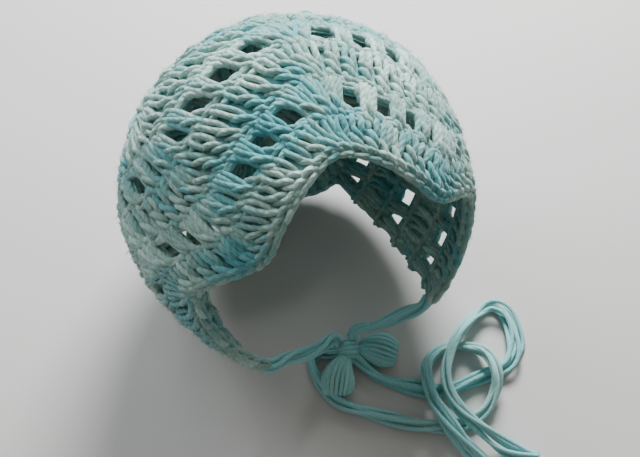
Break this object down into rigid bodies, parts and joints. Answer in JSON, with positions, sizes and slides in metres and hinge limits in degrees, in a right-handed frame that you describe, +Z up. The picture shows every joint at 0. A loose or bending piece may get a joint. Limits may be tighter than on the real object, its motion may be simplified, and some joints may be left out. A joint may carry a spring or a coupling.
{
  "type": "baby bonnet",
  "caption": "Crocheted baby bonnet with eyelet rows, a scalloped front edge and yarn ties in a bow, in the form it has when worn.",
  "frame": {"origin": "inside of the bonnet at its highest point, where it sits on the top of the head", "axes": "+Z up, the face opening looks along -Y, +X to the wearer's left"},
  "size_m": [0.1303, 0.1715, 0.116],
  "materials": {
    "yarn": "soft variegated teal and mint yarn, crocheted",
    "tie_yarn": "loose strands of the same yarn"
  },
  "bodies": {
    "root": {"crown": "yarn", "lace_body": "yarn", "front_edging": "yarn", "chin_tie_left": "tie_yarn", "chin_tie_right": "tie_yarn", "bow_knot": "tie_yarn", "bow_loop_left": "tie_yarn", "bow_loop_right": "tie_yarn", "tie_tail_left": "tie_yarn", "tie_tail_right": "tie_yarn"}
  },
  "joints": []
}
